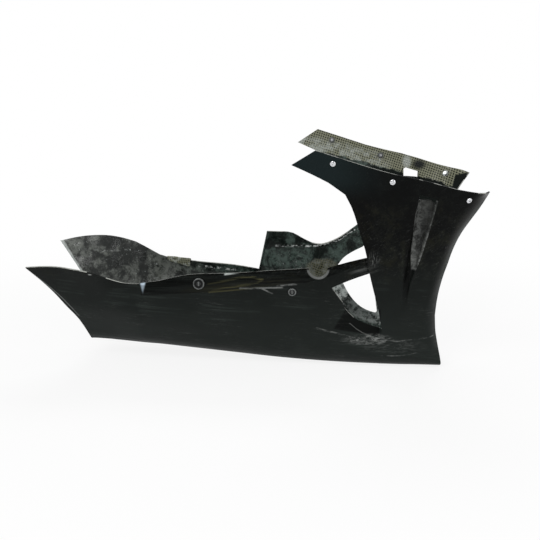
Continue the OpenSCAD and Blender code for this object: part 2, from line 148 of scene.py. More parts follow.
# Ridges and resin beads of the raw inner side, which carry painted highlights
TAIL_RIDGE = ((-0.414, 0.202), (-0.389, 0.217), (-0.335, 0.215))
RIM_BEADS = ((-0.166, 0.1790), (-0.133, 0.1785), (-0.096, 0.1745), (-0.063, 0.1710))
LOBE_RIDGE = (
    (0.040, 0.2345), (0.118, 0.2350), (0.140, 0.2370), (0.157, 0.2400), (0.193, 0.2520),
    (0.236, 0.2810),
)
# Foot of the pale sill in the left opening, and foot of the cloth strip at the flange's front
SILL_FOOT = ((0.190, 0.095), (0.245, 0.060), (0.290, 0.048))
STRIP_FOOT = ((0.462, 0.408), (0.495, 0.421))

# Rows of other pairs

# Strength of the pale sill for each X
SILL_SHARE = ((0.190, 0.0), (0.204, 0.7), (0.215, 0.35), (0.255, 0.75), (0.285, 0.9))

# X for each Z, from the foot up: the panel's front lip and the rear edge of the scoop's floor
LIP_LINE = (
    (0.000, 0.427), (0.056, 0.419), (0.098, 0.410), (0.236, 0.418), (0.277, 0.428),
    (0.321, 0.442), (0.374, 0.471), (0.404, 0.489), (0.421, 0.499),
)
SCOOP_REAR = ((0.252, 0.3430), (0.286, 0.3395), (0.327, 0.3405), (0.380, 0.3410), (0.411, 0.3480))

# Dark pits and frosted patches of the raw inner side, as (centre, radii) in metres
PITS = (
    ((-0.374, 0.14, 0.238), (0.050, 0.06, 0.020)),
    ((-0.350, 0.13, 0.196), (0.045, 0.06, 0.026)),
    ((-0.290, 0.13, 0.180), (0.022, 0.06, 0.060)),
)
FROST = (
    ((-0.461, 0.12, 0.220), (0.050, 0.06, 0.040)),
    ((-0.255, 0.14, 0.195), (0.045, 0.06, 0.045)),
    ((0.010, 0.13, 0.210), (0.060, 0.06, 0.030)),
    ((0.060, 0.13, 0.205), (0.045, 0.06, 0.030)),
)


def length(name, description, default):
    """A size in metres for a property group."""
    return FloatProperty(
        name=name, description=description, default=default, unit="LENGTH", min=0.0
    )


def power(name, description, default):
    """A lamp's power in watts for a property group."""
    return FloatProperty(name=name, description=description, default=default, subtype="POWER")


def colour(name, description, default):
    """A linear colour for a property group."""
    return FloatVectorProperty(
        name=name, description=description, default=default, subtype="COLOR", size=3,
        min=0.0, max=1.0,
    )


class LaminateSettings(bpy.types.PropertyGroup):
    """Sizes and colours of the moulded laminate."""

    merge: length("Merge distance", "Corners closer than this are one corner", 0.01 * MM)
    wall: length("Wall", "Greatest thickness that counts as a skin and not a cut edge", 4.5 * MM)
    slot_rise: length("Slot rise", "How far the right slot's foot comes up", 6.5 * MM)
    slot_fall: length("Slot fall", "How far the left slot's head comes down", 7.0 * MM)
    sharp_angle: FloatProperty(
        name="Sharp angle", description="Edges that turn more than this stay crisp",
        default=math.radians(42.0), subtype="ANGLE",
    )
    smoothing: IntProperty(
        name="Smoothing", description="Subdivision of the skins", default=1, min=0, max=2
    )
    gelcoat: colour("Gelcoat", "Black outer coat", (0.0018, 0.0021, 0.0020))
    # Haze is dusty haze, and also the painted sheen of the lower tub and of the panel's front lip
    haze: colour("Haze", "Rubbed and dusty gelcoat", (0.0275, 0.0335, 0.0305))
    tint: colour("Tint", "Bluish bloom on the rear wings", (0.0095, 0.0165, 0.0175))
    # Olive paints the band's reflections of the surroundings, and also the brown smudges on the
    # panel and the olive cloth in the tub
    olive_and_reflection: colour("Smear", "Olive polish smears", (0.080, 0.075, 0.034))
    # Scuff is whitish scratches, and also the painted light on the scoop's floor
    scuff_and_light: colour("Scuff", "Whitish scratches", (0.27, 0.28, 0.27))
    # Painted highlight on the band's rear corner, where it reflects the bright ground
    band_highlight: colour("Gleam", "Polished corner of the band", (0.44, 0.53, 0.61))
    # Resin is the raw side's dark resin, and also the painted shade inside the panels and in the
    # scoop slots
    resin: colour("Resin", "Dark resin on the raw inner side", (0.0035, 0.0055, 0.0045))
    fibre: colour("Fibre", "Pale glass fibre at the tails", (0.118, 0.127, 0.114))
    wet_fibre: colour("Wet fibre", "Soaked fibre in the middle", (0.070, 0.100, 0.086))
    # Glint is the painted highlight on the resin beads and ridges
    glint: colour("Glint", "Resin beads that catch the light", (0.86, 0.90, 0.88))
    # Speck is dry fibre and dust, and also the painted highlight on the right rim
    speck_and_highlight: colour("Speck", "Dry fibre and dust specks", (0.50, 0.54, 0.52))
    cloth: colour("Cloth", "Woven cloth of the inner flanges", (0.200, 0.205, 0.140))
    cloth_gap: colour("Cloth gap", "Dark resin between the strands", (0.012, 0.014, 0.008))
    edge: colour("Edge", "Cut edge of the laminate", (0.38, 0.39, 0.36))
    cloth_cell: length("Cloth cell", "Spacing of the strands", 5.6 * MM)


class FastenerSettings(bpy.types.PropertyGroup):
    """Colours of the screws, washers and nuts."""

    bright: colour("Bright steel", "Domed screws", (0.72, 0.73, 0.75))
    zinc: colour("Zinc", "Washers and nuts", (0.19, 0.20, 0.195))
    side_zinc: colour("Side zinc", "Dulled side screws", (0.055, 0.058, 0.058))
    alloy: colour("Alloy", "Rubbed rings of the cup washers", (0.20, 0.21, 0.205))
    cup_black: colour("Cup black", "Blackened faces of the cup washers", (0.020, 0.021, 0.021))
    bevel: length("Bevel", "Broken edges of the small pieces", 0.12 * MM)


class StudioSettings(bpy.types.PropertyGroup):
    """The floor, the sky and the lamps."""

    floor_size: length("Floor size", "Width of the floor", 14.0)
    sky: FloatProperty(name="Sky", description="Strength of the even light", default=0.40)
    key_power: power("Key lamp", "Power of the key lamp", 38.0)
    fill_power: power("Fill lamp", "Power of the fill lamp", 12.0)
    back_power: power("Back lamp", "Power of the back lamp", 30.0)


class Finish:
    """One material, whose nodes are added a step at a time."""

    def __init__(self, name, **values):
        self.material = bpy.data.materials.new(name)
        self.material.use_nodes = True
        self.tree = self.material.node_tree
        self.shader = self.tree.nodes["Principled BSDF"]
        for socket, value in values.items():
            self.shader.inputs[socket.replace("_", " ")].default_value = value
        self.coords = self.tree.nodes.new("ShaderNodeTexCoord").outputs["Object"]

    def feed(self, socket, value):
        """Puts a number, a vector or another node's output into a socket."""
        if isinstance(value, bpy.types.NodeSocket):
            self.tree.links.new(value, socket)
        elif value is not None:
            socket.default_value = value

    def maths(self, operation, first, second=None, third=None, clamp=False):
        """One Math node."""
        node = self.tree.nodes.new("ShaderNodeMath")
        node.operation = operation
        node.use_clamp = clamp
        for socket, value in zip(node.inputs, (first, second, third)):
            self.feed(socket, value)
        return node.outputs[0]

    def measure(self, operation, *values):
        """The number that one Vector Math node gives."""
        node = self.tree.nodes.new("ShaderNodeVectorMath")
        node.operation = operation
        for socket, value in zip(node.inputs, values):
            self.feed(socket, value)
        return node.outputs["Value"]

    def axes(self, coords=None):
        """X, Y and Z of the coordinates."""
        node = self.tree.nodes.new("ShaderNodeSeparateXYZ")
        self.feed(node.inputs[0], coords or self.coords)
        return node.outputs

    def mapped(self, scale=(1, 1, 1), turn=(0, 0, 0), move=(0, 0, 0)):
        """Object coordinates, scaled, turned and moved."""
        node = self.tree.nodes.new("ShaderNodeMapping")
        self.feed(node.inputs["Vector"], self.coords)
        node.inputs["Location"].default_value = move
        node.inputs["Rotation"].default_value = turn
        node.inputs["Scale"].default_value = scale
        return node.outputs[0]

    def drawn(self, scale, fall):
        """Object coordinates stretched along lines that fall towards the front."""
        x, y, z = self.axes()
        node = self.tree.nodes.new("ShaderNodeCombineXYZ")
        sheared = self.maths("MULTIPLY_ADD", x, fall, z)
        for socket, value, factor in zip(node.inputs, (x, y, sheared), scale):
            self.feed(socket, self.maths("MULTIPLY", value, factor))
        return node.outputs[0]

    def noise(self, scale, detail, rough, coords=None, warp=0.0):
        """Soft noise from 0 to 1."""
        node = self.tree.nodes.new("ShaderNodeTexNoise")
        self.feed(node.inputs["Vector"], coords or self.coords)
        node.inputs["Scale"].default_value = scale
        node.inputs["Detail"].default_value = detail
        node.inputs["Roughness"].default_value = rough
        node.inputs["Distortion"].default_value = warp
        return node.outputs["Fac"]

    def between(self, value, low, high, out_low=0.0, out_high=1.0):
        """A smooth step from one output to another as the value goes from low to high."""
        node = self.tree.nodes.new("ShaderNodeMapRange")
        node.interpolation_type = "SMOOTHSTEP"
        for socket, number in zip(node.inputs, (value, low, high, out_low, out_high)):
            self.feed(socket, number)
        return node.outputs[0]

    def along(self, x, points):
        """Height of a line of straight stretches at a place x."""
        height = points[0][1]
        for (low, base), (high, top) in zip(points, points[1:]):
            node = self.tree.nodes.new("ShaderNodeMapRange")
            for socket, number in zip(node.inputs, (x, low, high, 0.0, top - base)):
                self.feed(socket, number)
            height = self.maths("ADD", node.outputs[0], height)
        return height

    def over(self, x, z, points):
        """How far a height z lies over a line at a place x."""
        return self.maths("SUBTRACT", z, self.along(x, points))

    def trace(self, x, z, points, half_width):
        """1 on a thin line that follows points in side view."""
        fade = 4.0 * MM
        core = half_width * 0.3
        off = self.maths("ABSOLUTE", self.over(x, z, points))
        start, end = points[0][0], points[-1][0]
        ends = self.every(self.between(x, start - fade, start), self.between(x, end + fade, end))
        return self.every(self.between(off, half_width, core), ends)

    def every(self, *shares):
        """The product of several shares."""
        product = shares[0]
        for share in shares[1:]:
            product = self.maths("MULTIPLY", product, share)
        return product

    def either(self, *shares):
        """The greatest of several shares."""
        greatest = shares[0]
        for share in shares[1:]:
            greatest = self.maths("MAXIMUM", greatest, share)
        return greatest

    def opposite(self, share):
        """1 where a share is 0, and 0 where it is 1."""
        return self.maths("SUBTRACT", 1.0, share)

    def blend(self, share, first, second):
        """A mix of two colours."""
        node = self.tree.nodes.new("ShaderNodeMix")
        node.data_type = "RGBA"
        self.feed(node.inputs["Factor"], share)
        for name, value in (("A", first), ("B", second)):
            linked = isinstance(value, bpy.types.NodeSocket)
            self.feed(self.colour_socket(node.inputs, name), value if linked else (*value, 1.0))
        return self.colour_socket(node.outputs, "Result")

    @staticmethod
    def colour_socket(sockets, name):
        """The colour socket of a Mix node, which keeps one of each kind under each name."""
        return next(s for s in sockets if s.name == name and s.type == "RGBA")

    def bump(self, height, strength, distance):
        """Feeds a height into the shader's normal, on top of any bump already there."""
        node = self.tree.nodes.new("ShaderNodeBump")
        node.inputs["Strength"].default_value = strength
        node.inputs["Distance"].default_value = distance
        self.feed(node.inputs["Height"], height)
        socket = self.shader.inputs["Normal"]
        if socket.is_linked:
            self.tree.links.new(socket.links[0].from_socket, node.inputs["Normal"])
        self.tree.links.new(node.outputs[0], socket)

    def spot(self, centre, radius):
        """1 near a place on the pan and 0 beyond the three radii round it."""
        scale = tuple(1.0 / r for r in radius)
        move = tuple(-c / r for c, r in zip(centre, radius))
        return self.between(self.measure("LENGTH", self.mapped(scale, move=move)), 1.0, 0.35)

    def spots(self, places):
        """1 near any of several places, each with its centre and its radii."""
        return self.either(*(self.spot(*place) for place in places))


def streaky(f, scale, fall):
    """Noise drawn out along the pan."""
    stretched = f.drawn((1.6, 5.0, 46.0), fall)
    return f.noise(scale, detail=8.0, rough=0.70, coords=stretched, warp=0.5)


def painted_lip_sheen(f, x, z):
    """Painted sheen along the panel's front edge, where the curled lip reflects the light,
    strongest at the middle of its height.
    """
    lip = f.between(f.over(z, x, LIP_LINE), -0.020, -0.004)
    return f.every(lip, f.between(z, 0.08, 0.24), f.between(z, 0.45, 0.38, 0.25, 0.80))


def painted_band_reflections(f, x, z, on_band, above):
    """Painted olive reflections of the surroundings on the polished band: a hairpin, a line along
    its crease and its lower half.
    """
    broken = f.between(streaky(f, 5.0, -0.10), 0.38, 0.58)
    hairpin = f.either(*(f.trace(x, z, line, 0.0042) for line in HAIRPIN_LINES))
    tip = f.between(x, -0.100, 0.020, 0.30, 0.85)
    crease = f.every(f.trace(x, z, BAND_CREASE[1:4], 0.0026), f.between(x, 0.01, -0.03), 0.45)
    low_band = f.every(
        on_band, f.between(above, 0.024, 0.004), f.between(x, -0.18, -0.06),
        f.between(x, 0.12, 0.05),
    )
    return f.either(f.every(hairpin, broken, tip), crease, f.every(low_band, broken, 0.16))


def recess_shade(f, x, z):
    """The recess under the side opening, darkened with painted shade."""
    return f.every(
        f.between(f.over(x, z, RECESS_FOOT), -0.002, 0.003),
        f.between(f.maths("MULTIPLY_ADD", z, -0.55, x), 0.120, 0.128),
        f.between(x, 0.286, 0.282), f.between(z, 0.160, 0.150),
    )


def scoop_slope_shade(f, x, z):
    """Painted shade on the steep slope behind the scoop, which stays black."""
    return f.every(
        f.between(x, 0.324, 0.331), f.between(x, 0.343, 0.340),
        f.between(z, 0.145, 0.235), f.between(z, 0.412, 0.408),
    )


def scoop_floor_light(f, x, z):
    """Painted light on the scoop's floor, grainy and palest along its sides and low down, an
    upright wedge with its point at the foot.
    """
    foot, reach = 0.250, 0.161
    part = f.maths("DIVIDE", f.maths("SUBTRACT", z, foot), reach, clamp=True)
    rise = f.maths("POWER", part, 0.72)
    ahead = f.maths("MULTIPLY_ADD", rise, 0.0360, 0.3500)
    from_rear = f.over(z, x, SCOOP_REAR)
    to_front = f.maths("SUBTRACT", ahead, x)
    inside = f.every(
        f.between(from_rear, -0.0005, 0.0015), f.between(to_front, -0.0005, 0.0015),
        f.between(z, foot, 0.256), f.between(z, 0.4125, 0.4110),
    )
    grain = f.between(f.noise(75.0, detail=8.0, rough=0.78, warp=0.6), 0.40, 0.62)
    # Painted light: palest along the floor's rear and front sides
    lit_sides = f.either(
        f.between(from_rear, 0.026, 0.002, 0.35, 1.0), f.between(to_front, 0.0045, 0.0025)
    )
    low = f.between(z, 0.345, 0.285, 0.62, 1.0)
    wear_and_light = f.maths("MULTIPLY_ADD", f.every(grain, lit_sides, low), 0.60, 0.06)
    return f.every(inside, wear_and_light)


def rubbed_places(f, grain):
    """Whitish rubs on the belt and the arm, and slashes where the arm meets the panel."""
    faint_belt = f.spot((0.31, -0.08, 0.060), (0.100, 0.08, 0.026))
    belt = f.either(f.spot((0.262, -0.09, 0.0765), (0.070, 0.08, 0.018)), f.every(faint_belt, 0.16))
    arm_end = f.spot((0.263, -0.152, 0.278), (0.018, 0.05, 0.024))
    steep = f.mapped((90.0, 5.0, 9.0), turn=(0.0, -0.45, 0.0))
    slashes = f.between(f.noise(7.0, detail=6.0, rough=0.7, coords=steep), 0.50, 0.62)
    arm_place = f.spot((0.232, -0.135, 0.258), (0.060, 0.04, 0.022))
    arm = f.every(arm_place, f.between(streaky(f, 4.0, -0.36), 0.50, 0.62))
    return f.either(
        f.every(belt, grain, 0.95), f.every(arm_end, slashes, 0.42), f.every(arm, 0.30)
    )


def scratch_marks(f, z, scratches, off_band, on_panel):
    """Long scratches low on the tub and short nicks on the panel."""
    patchy = f.noise(12.0, detail=3.0, rough=0.5, coords=f.mapped(move=(3.1, 0.7, 1.9)))
    marks = f.every(
        f.between(scratches, 0.565, 0.67), f.between(patchy, 0.45, 0.60), off_band,
        f.between(z, 0.24, 0.15, 0.03, 0.42),
    )
    steep = f.drawn((14.0, 6.0, 60.0), -0.75)
    nicks = f.noise(10.0, detail=8.0, rough=0.78, coords=steep, warp=0.9)
    nicks = f.every(f.between(nicks, 0.56, 0.68), on_panel, f.between(z, 0.42, 0.30, 0.05, 0.30))
    return marks, nicks


def thin_lines(f, x, z, grain, recess):
    """The few long scratches and worn edges that the eye picks out one by one."""
    wispy = f.noise(55.0, detail=7.0, rough=0.75, coords=f.mapped((0.7, 1.0, 3.0)), warp=0.5)
    wisps = f.between(wispy, 0.36, 0.60)
    return f.either(
        f.every(f.trace(x, z, SCUFF_LINE, 0.0035), grain, 0.5),
        *(f.every(f.trace(x, z, line, 0.0022), grain, 0.55) for line in TRAIL_LINES),
        *(f.every(f.trace(x, z, line, 0.0028), wisps, 0.55) for line in PALE_LINES),
        f.every(f.trace(x, z, TAIL_EDGE, 0.0030), f.between(x, -0.32, -0.42, 0.15, 0.45)),
        f.every(f.trace(x, z, RECESS_RIDGE, 0.0016), recess, 0.30),
    )


def notch_rim(f, y, z):
    """Worn edge round the foot of the round notch, on the right side."""
    beside = f.mapped((1.0, 0.0, 1.0), move=(-0.1455, 0.0, -0.2515))
    ring = f.between(f.measure("LENGTH", beside), 0.0258, 0.0235)
    return f.every(ring, f.between(z, 0.250, 0.244), f.between(y, 0.0, -0.02), 0.45)


def band_corner_highlight(f, x, y, z):
    """Painted highlight on the rounded corner at the rear end of the band, on the right side."""
    corner = f.every(
        f.between(f.maths("MULTIPLY_ADD", z, 0.25, x), -0.1910, -0.1860),
        f.between(f.maths("MULTIPLY_ADD", z, -0.25, x), -0.2815, -0.2865),
        f.between(z, 0.186, 0.204, 0.10, 0.55), f.between(z, 0.183, 0.188),
        f.between(y, 0.0, -0.02),
    )
    return f.either(corner, f.every(f.between(z, 0.205, 0.210), corner, 1.8))


def gelcoat(settings):
    """Black gelcoat: glossy where it was polished, streaked, hazed and scuffed elsewhere, with
    painted sheen, reflections, highlights and shade.
    """
    f = Finish("worn_black_gelcoat", Specular_IOR_Level=0.055)
    x, y, z = f.axes()
    above = f.over(x, z, BAND_CREASE)
    on_band = f.every(
        f.between(x, -0.243, -0.238), f.between(x, 0.262, 0.250), f.between(above, -0.001, 0.001)
    )
    off_band = f.opposite(on_band)
    on_panel = f.between(z, 0.200, 0.270)
    low = f.between(z, 0.340, 0.150)

    blotches = f.noise(30.0, detail=9.0, rough=0.80, coords=f.mapped((1.0, 1.0, 0.7)), warp=0.1)
    streaks = f.maths(
        "ADD", f.every(blotches, on_panel), f.every(streaky(f, 3.2, 0.075), f.opposite(on_panel))
    )
    clouds = f.noise(8.0, detail=6.0, rough=0.62, coords=f.mapped((1.0, 1.0, 1.7)), warp=0.3)
    haze = f.every(f.between(streaks, 0.36, 0.66), f.between(clouds, 0.30, 0.60))
    dull = f.every(haze, off_band, f.maths("MULTIPLY_ADD", low, 0.75, 0.12))
    # Painted sheen: the tub grows lighter towards the bottom, clouded, and the front lip lighter;
    # the streaks in dull are dusty haze
    depth = f.between(z, 0.20, 0.06, 0.20, 0.40)
    lower_sheen = f.every(low, off_band, f.maths("MULTIPLY_ADD", clouds, 0.30, depth))
    haze_and_sheen = f.either(dull, lower_sheen, painted_lip_sheen(f, x, z))
    shade = f.blend(haze_and_sheen, settings.gelcoat, settings.haze)
    wing = f.every(f.between(x, 0.30, 0.16), f.between(z, 0.40, 0.46))
    shade = f.blend(f.every(wing, 0.8), shade, settings.tint)

    brown = f.every(on_panel, f.between(blotches, 0.46, 0.66), f.between(z, 0.44, 0.36), 0.09)
    # Painted reflections on the band, with real brown smudges on the panel
    smears = painted_band_reflections(f, x, z, on_band, above)
    shade = f.blend(f.either(smears, brown), shade, settings.olive_and_reflection)
    band_streaks = f.between(streaky(f, 2.6, -0.02), 0.40, 0.66)
    band_haze = f.every(on_band, band_streaks, f.between(z, 0.26, 0.24), 0.35)
    shade = f.blend(band_haze, shade, settings.haze)
    # Painted shade: the recess under the side opening and the slope behind the scoop turn back to
    # plain black gelcoat
    recess = recess_shade(f, x, z)
    hollow_shade = f.either(recess, scoop_slope_shade(f, x, z))
    shade = f.blend(f.every(hollow_shade, 0.85), shade, settings.gelcoat)

    stretched = f.drawn((3.0, 6.0, 110.0), 0.11)
    scratches = f.noise(8.0, detail=9.0, rough=0.80, coords=stretched, warp=0.7)
    grain = f.noise(95.0, detail=9.0, rough=0.82, coords=f.mapped((0.55, 1.0, 2.2)), warp=0.6)
    grain = f.between(grain, 0.46, 0.61)
    # A small pale spot on the right rim
    pale_rim_spot = f.spot((-0.349, -0.152, 0.2335), (0.006, 0.02, 0.0022))
    # Pale marks: scratches, rubs, worn edges and a pale spot, and painted light on the scoop's
    # floor
    pale = f.either(
        rubbed_places(f, grain), *scratch_marks(f, z, scratches, off_band, on_panel),
        thin_lines(f, x, z, grain, recess), scoop_floor_light(f, x, z), pale_rim_spot, notch_rim(f, y, z),
    )
    shade = f.blend(pale, shade, settings.scuff_and_light)
    # Painted highlight on the right rim
    rim_highlight = f.every(f.trace(x, z, RIM_HIGHLIGHT, 0.0040), f.between(x, -0.022, -0.050), 0.75)
    shade = f.blend(rim_highlight, shade, settings.speck_and_highlight)
    # Painted highlight on the band's rear corner
    shade = f.blend(band_corner_highlight(f, x, y, z), shade, settings.band_highlight)
    f.feed(f.shader.inputs["Base Color"], shade)

    polished = 0.08
    satin = f.maths(
        "MULTIPLY_ADD", f.either(haze, pale), 0.25, f.between(z, 0.40, 0.20, 0.18, 0.34)
    )
    gloss = f.maths("MULTIPLY_ADD", off_band, f.maths("SUBTRACT", satin, polished), polished)
    f.feed(f.shader.inputs["Roughness"], gloss)
    waves = f.noise(6.0, detail=3.0, rough=0.5, coords=f.mapped((1.0, 1.0, 3.0)))
    f.bump(waves, strength=0.30, distance=0.6 * MM)
    f.bump(f.every(scratches, off_band), strength=0.12, distance=0.06 * MM)
    return f.material


def weave(f, settings, turn):
    """Plain weave: share of the strands from 0 to 1, and their height."""
    pitch = math.pi / settings.cloth_cell
    x, _, z = f.axes(f.mapped(turn=(0.0, turn, 0.0)))
    across = f.maths("ABSOLUTE", f.maths("SINE", f.maths("MULTIPLY", x, pitch)))
    along = f.maths("ABSOLUTE", f.maths("SINE", f.maths("MULTIPLY", z, pitch)))
    height = f.opposite(f.every(across, along))
    return f.between(height, 0.28, 0.66), height


def mottled_resin(f, settings, x, blotches, fibres):
    """Dark resin over glass fibre, with pits, frosted patches, dry specks and a chalky patch."""
    frosted = f.spots(FROST)
    uneven = f.maths(
        "MULTIPLY_ADD", f.spots(PITS), -0.12, f.maths("MULTIPLY_ADD", frosted, 0.07, blotches)
    )
    body = f.every(f.between(uneven, 0.44, 0.57), f.between(fibres, 0.38, 0.57, 0.10, 1.0))
    fibre_shade = f.blend(f.between(x, -0.24, -0.06), settings.fibre, settings.wet_fibre)
    raw = f.blend(f.maths("MULTIPLY_ADD", body, 0.95, 0.05), settings.resin, fibre_shade)

    dry = f.between(f.noise(130.0, detail=9.0, rough=0.85, warp=0.6), 0.570, 0.65)
    drifts = f.between(f.noise(9.0, detail=2.0, rough=0.5), 0.42, 0.60, 0.10, 0.70)
    dusty = f.every(dry, f.maths("ADD", drifts, f.every(frosted, 0.35)))
    chalk_place = f.spot((0.194, 0.105, 0.134), (0.040, 0.06, 0.040))
    chalky = f.every(
        f.between(f.maths("MULTIPLY_ADD", fibres, 0.9, chalk_place), 0.85, 1.15),
        f.between(x, 0.172, 0.186),
    )
    chalk = f.every(chalky, f.between(fibres, 0.44, 0.54, 0.10, 1.0))
    return f.blend(f.either(dusty, chalk), raw, settings.speck_and_highlight)


def pale_edges(f, x, z, fibres):
    """Dry fibre along the left tail's cut edge and on the sill of the left opening."""
    from_edge = f.maths(
        "ADD", f.maths("MULTIPLY_ADD", x, 0.804, 0.4012), f.maths("MULTIPLY_ADD", z, 0.594, -0.1426)
    )
    tail_rim = f.every(f.between(from_edge, 0.0095, 0.0070), 0.60)
    sill = f.every(
        f.along(x, SILL_SHARE), f.between(z, 0.150, 0.135), f.between(x, 0.186, 0.196),
        f.between(f.over(x, z, SILL_FOOT), 0.0, 0.010), f.between(fibres, 0.42, 0.56, 0.05, 1.0),
    )
    return f.either(tail_rim, f.every(sill, 0.75))


def ridge_glints(f, x, z, blotches):
    """Painted highlights where resin beads catch the light on the lobe, the tail and the rim."""
    beads = f.between(f.noise(160.0, detail=3.0, rough=0.6), 0.45, 0.56)
    drops = f.between(f.noise(90.0, detail=4.0, rough=0.7), 0.50, 0.60)
    lobe = f.every(f.trace(x, z, LOBE_RIDGE, 0.0034), beads, f.between(x, 0.05, 0.15, 0.40, 1.0))
    tail = f.every(
        f.trace(x, z, TAIL_RIDGE, 0.0022), beads, f.between(blotches, 0.44, 0.56), 0.22
    )
    return f.either(lobe, tail, f.every(f.trace(x, z, RIM_BEADS, 0.0040), drops, 0.55))


def flange_cloth(f, settings, x, z, over_line, fibres, strands):
    """Colour of the cloth: pale dried resin on the rear wing, and dark and olive in the tub."""
    soaked = f.noise(70.0, detail=8.0, rough=0.80, coords=f.mapped(move=(1.3, 0.2, 0.0)))
    wing_resin = f.every(
        f.between(soaked, 0.42, 0.58), f.between(x, 0.330, 0.270),
        f.between(over_line, 0.038, 0.020),
    )
    joggle = f.spot((0.385, 0.20, 0.431), (0.024, 0.05, 0.017))
    dried = f.spot((0.356, 0.20, 0.437), (0.015, 0.05, 0.022))
    shade = f.blend(strands, settings.cloth_gap, settings.cloth)
    shade = f.blend(f.every(f.either(wing_resin, dried), 0.48), shade, settings.speck_and_highlight)
    shade = f.blend(joggle, shade, settings.resin)
    in_tub = f.between(z, 0.300, 0.280)
    wetted = f.every(in_tub, f.between(fibres, 0.35, 0.60, 0.78, 0.40))
    shade = f.blend(wetted, shade, settings.resin)
    return f.blend(f.every(in_tub, strands, 0.40), shade, settings.olive_and_reflection)


def raw_laminate(settings):
    """The inner side as it left the mould: mottled resin, glass fibre and woven cloth patches, with
    painted highlights on resin beads and painted shade inside the panels.
    """
    f = Finish("raw_inner_laminate", Specular_IOR_Level=0.26)
    x, y, z = f.axes()
    blotches = f.noise(21.0, detail=8.0, rough=0.70, warp=0.4)
    fibres = f.noise(70.0, detail=8.0, rough=0.80, warp=0.3)
    raw = mottled_resin(f, settings, x, blotches, fibres)
    left_side = f.between(y, 0.02, 0.06)
    raw = f.blend(f.every(left_side, pale_edges(f, x, z, fibres)), raw, settings.speck_and_highlight)
    # Painted highlights on the ridges and beads of the left side
    raw = f.blend(f.every(left_side, ridge_glints(f, x, z, blotches)), raw, settings.glint)

    strands, height = weave(f, settings, math.radians(-16.7))
    uneven = f.maths("SUBTRACT", f.noise(60.0, detail=3.0, rough=0.6), 0.5)
    ragged = f.every(uneven, 0.020)
    cloth_foot = f.maths("MULTIPLY_ADD", x, -0.235, 0.494)
    over_line = f.maths("ADD", f.maths("SUBTRACT", z, cloth_foot), ragged)
    in_front = f.every(
        f.between(f.maths("MULTIPLY_ADD", z, -0.26, x), 0.3605, 0.3645),
        f.between(f.over(x, z, STRIP_FOOT), 0.001, -0.002),
    )
    flange = f.every(f.between(over_line, -0.002, 0.002), f.opposite(in_front))
    patch = f.spot((0.156, 0.128, 0.180), (0.060, 0.05, 0.036))
    patch = f.between(f.maths("ADD", patch, f.every(ragged, 26.0)), 0.22, 0.70)
    cloth = f.either(flange, patch)
    cloth_shade = flange_cloth(f, settings, x, z, over_line, fibres, strands)
    # Painted shade: the panel's inner side below the flange cloth turns dark resin colour, matt and
    # smooth; the inner face of the front curl is black of its own
    shaded_panel_inside = f.every(
        f.between(x, 0.255, 0.275), f.between(over_line, 0.0, -0.003), f.between(z, 0.105, 0.125)
    )
    black_and_shaded = f.either(in_front, shaded_panel_inside)
    raw = f.blend(f.every(black_and_shaded, 0.98), raw, settings.resin)
    f.feed(f.shader.inputs["Base Color"], f.blend(cloth, raw, cloth_shade))

    glazed = f.noise(34.0, detail=4.0, rough=0.6, coords=f.mapped(move=(5.0, 1.0, 2.0)))
    gloss = f.maths("MULTIPLY_ADD", f.between(glazed, 0.46, 0.60), -0.36, 0.52)
    f.feed(f.shader.inputs["Roughness"], f.either(gloss, f.either(black_and_shaded, patch)))
    rough_height = f.every(f.maths("ADD", fibres, f.every(blotches, 1.5)), 0.5)
    f.bump(f.every(rough_height, f.opposite(black_and_shaded)), strength=0.9, distance=1.6 * MM)
    f.bump(f.every(height, cloth), strength=0.7, distance=0.5 * MM)
    return f.material


def tab_cloth(settings):
    """Stiff woven cloth with little resin."""
    f = Finish("resin_dipped_cloth", Roughness=0.6, Specular_IOR_Level=0.3)
    strands, height = weave(f, settings, 0.1)
    strands = f.maths("MULTIPLY_ADD", strands, 0.75, 0.25)
    dusty = f.between(f.noise(90.0, detail=5.0, rough=0.7), 0.44, 0.62, 0.0, 0.55)
    shade = f.blend(strands, settings.cloth_gap, settings.cloth)
    f.feed(f.shader.inputs["Base Color"], f.blend(dusty, shade, settings.speck_and_highlight))
    f.bump(height, strength=0.8, distance=0.6 * MM)
    return f.material


def cut_edge(settings):
    """Sanded edge of the laminate, pale with darker resin, and darkened with painted shade in the
    scoop slots.
    """
    f = Finish("sanded_laminate_edge", Roughness=0.7, Specular_IOR_Level=0.2)
    patchy = f.between(f.noise(45.0, detail=5.0, rough=0.65), 0.32, 0.52)
    # Painted shade on the edges inside the scoop slots
    slot_shade = f.spot((0.365, 0.0, 0.410), (0.060, 1.0, 0.040))
    patchy = f.every(patchy, f.between(slot_shade, 0.30, 0.10))
    f.feed(f.shader.inputs["Base Color"], f.blend(patchy, settings.resin, settings.edge))
    f.bump(f.noise(400.0, detail=4.0, rough=0.6), strength=0.3, distance=0.2 * MM)
    return f.material


def metal(name, shade, roughness, wear_and_light):
    """Bare or plated metal with fine scratches and a little dirt."""
    f = Finish(name, Metallic=1.0, Roughness=roughness)
    fine = f.noise(900.0, detail=5.0, rough=0.7)
    dirt = f.between(f.noise(260.0, detail=4.0, rough=0.6), 0.48, 0.70)
    dark = tuple(0.35 * c for c in shade)
    f.feed(f.shader.inputs["Base Color"], f.blend(f.every(dirt, wear_and_light), tuple(shade), dark))
    f.feed(f.shader.inputs["Roughness"], f.maths("MULTIPLY_ADD", fine, 0.25, roughness - 0.1))
    f.bump(fine, strength=0.15, distance=0.03 * MM)
    return f.material


